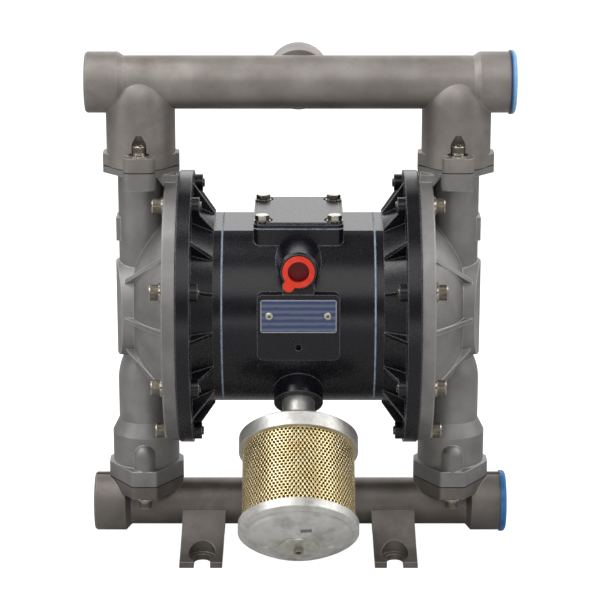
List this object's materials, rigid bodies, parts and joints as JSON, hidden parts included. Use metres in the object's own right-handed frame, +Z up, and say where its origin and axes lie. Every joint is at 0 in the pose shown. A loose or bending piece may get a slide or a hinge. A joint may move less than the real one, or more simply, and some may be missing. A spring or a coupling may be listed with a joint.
{
  "type": "air operated diaphragm pump",
  "caption": "Air-operated double diaphragm pump with stainless wetted parts, ball check valves, a painted air section, screw feet and an exhaust muffler.",
  "frame": {"origin": "on the floor, midway between the four foot slots, below the middle of the diaphragm shaft", "axes": "+X along the shaft towards the ends with transit caps, -Y to the front with the air inlet and muffler, +Z up"},
  "size_m": [0.445, 0.3845, 0.5442],
  "materials": {
    "cast_stainless": "bead blasted casting",
    "black_paint": "semi-gloss black paint",
    "bright_steel": "bright stainless",
    "seat_steel": "turned",
    "ball_plastic": "smooth",
    "black_rubber": "matt",
    "gasket_sheet": "matt pale blue",
    "bush_brass": "turned",
    "valve_aluminium": "machined",
    "valve_plastic": "smooth",
    "plate_aluminium": "turned",
    "nameplate_blue": "printed blank sheet",
    "red_plastic": "moulded",
    "pale_blue_plastic": "moulded",
    "blue_plastic": "moulded",
    "cast_aluminium": "as cast",
    "screen_brass": "perforated sheet",
    "felt": "felted"
  },
  "bodies": {
    "housing": {"outlet_manifold": "cast_stainless", "inlet_manifold": "cast_stainless", "fluid_cap_left": "cast_stainless", "fluid_cap_right": "cast_stainless", "centre_block": "black_paint", "air_cap_left": "black_paint", "air_cap_right": "black_paint", "valve_cover": "black_paint", "cap_gasket_left": "gasket_sheet", "cap_gasket_right": "gasket_sheet", "valve_cover_gasket": "gasket_sheet", "outlet_manifold_screws": "bright_steel", "inlet_manifold_screws": "bright_steel", "manifold_washers": "bright_steel", "chamber_screws_left": "bright_steel", "chamber_screws_right": "bright_steel", "chamber_washers_left": "bright_steel", "chamber_washers_right": "bright_steel", "air_cap_screws_left": "bright_steel", "air_cap_screws_right": "bright_steel", "valve_cover_bolts": "bright_steel", "valve_cover_washers": "bright_steel", "nameplate_screws": "bright_steel", "outlet_seat_left": "seat_steel", "outlet_seat_right": "seat_steel", "inlet_seat_left": "seat_steel", "inlet_seat_right": "seat_steel", "outlet_rear_plug": "seat_steel", "seat_o_rings": "black_rubber", "diaphragm_left": "black_rubber", "diaphragm_right": "black_rubber", "shaft_seals": "black_rubber", "shaft_bush_left": "bush_brass", "shaft_bush_right": "bush_brass", "valve_sleeve": "valve_aluminium", "nameplate": "nameplate_blue", "muffler_top_cap": "cast_aluminium", "muffler_bottom_cap": "cast_aluminium", "muffler_screen": "screen_brass", "muffler_element": "felt", "muffler_tie_bolt": "bright_steel", "muffler_washer": "bright_steel"},
    "diaphragm_drive": {"shaft": "bright_steel", "inner_plate_left": "plate_aluminium", "inner_plate_right": "plate_aluminium", "outer_plate_left": "plate_aluminium", "outer_plate_right": "plate_aluminium", "plate_screws": "bright_steel"},
    "pilot": {"pilot_rod": "bright_steel"},
    "spool": {"air_spool": "valve_plastic"},
    "outlet_ball_left": {"outlet_ball_left": "ball_plastic"},
    "outlet_ball_right": {"outlet_ball_right": "ball_plastic"},
    "inlet_ball_left": {"inlet_ball_left": "ball_plastic"},
    "inlet_ball_right": {"inlet_ball_right": "ball_plastic"},
    "outlet_transit_cap": {"outlet_cap": "pale_blue_plastic"},
    "inlet_transit_cap": {"inlet_cap": "blue_plastic"},
    "air_plug": {"air_inlet_plug": "red_plastic"}
  },
  "joints": [
    {"name": "shaft_stroke", "type": "slide", "parent": "housing", "child": "diaphragm_drive", "axis": [1, 0, 0], "range_m": [-0.016, 0.016], "deforming": ["diaphragm_left", "diaphragm_right"]},
    {"name": "pilot_stroke", "type": "slide", "parent": "housing", "child": "pilot", "axis": [1, 0, 0], "range_m": [-0.006, 0.006]},
    {"name": "spool_shift", "type": "slide", "parent": "housing", "child": "spool", "axis": [1, 0, 0], "range_m": [-0.009, 0.009]},
    {"name": "outlet_ball_left_lift", "type": "slide", "parent": "housing", "child": "outlet_ball_left", "axis": [0, 0, 1], "range_m": [0, 0.01]},
    {"name": "outlet_ball_right_lift", "type": "slide", "parent": "housing", "child": "outlet_ball_right", "axis": [0, 0, 1], "range_m": [0, 0.01]},
    {"name": "inlet_ball_left_lift", "type": "slide", "parent": "housing", "child": "inlet_ball_left", "axis": [0, 0, 1], "range_m": [0, 0.01]},
    {"name": "inlet_ball_right_lift", "type": "slide", "parent": "housing", "child": "inlet_ball_right", "axis": [0, 0, 1], "range_m": [0, 0.01]},
    {"name": "outlet_cap_pull", "type": "slide", "parent": "housing", "child": "outlet_transit_cap", "axis": [1, 0, 0], "range_m": [0, 0.06]},
    {"name": "inlet_cap_pull", "type": "slide", "parent": "housing", "child": "inlet_transit_cap", "axis": [1, 0, 0], "range_m": [0, 0.06]},
    {"name": "air_plug_pull", "type": "slide", "parent": "housing", "child": "air_plug", "axis": [0, -1, 0], "range_m": [0, 0.06]}
  ],
  "couplings": [
    {"joint": "pilot_stroke", "follows": "shaft_stroke", "ratio": 0.375}
  ]
}
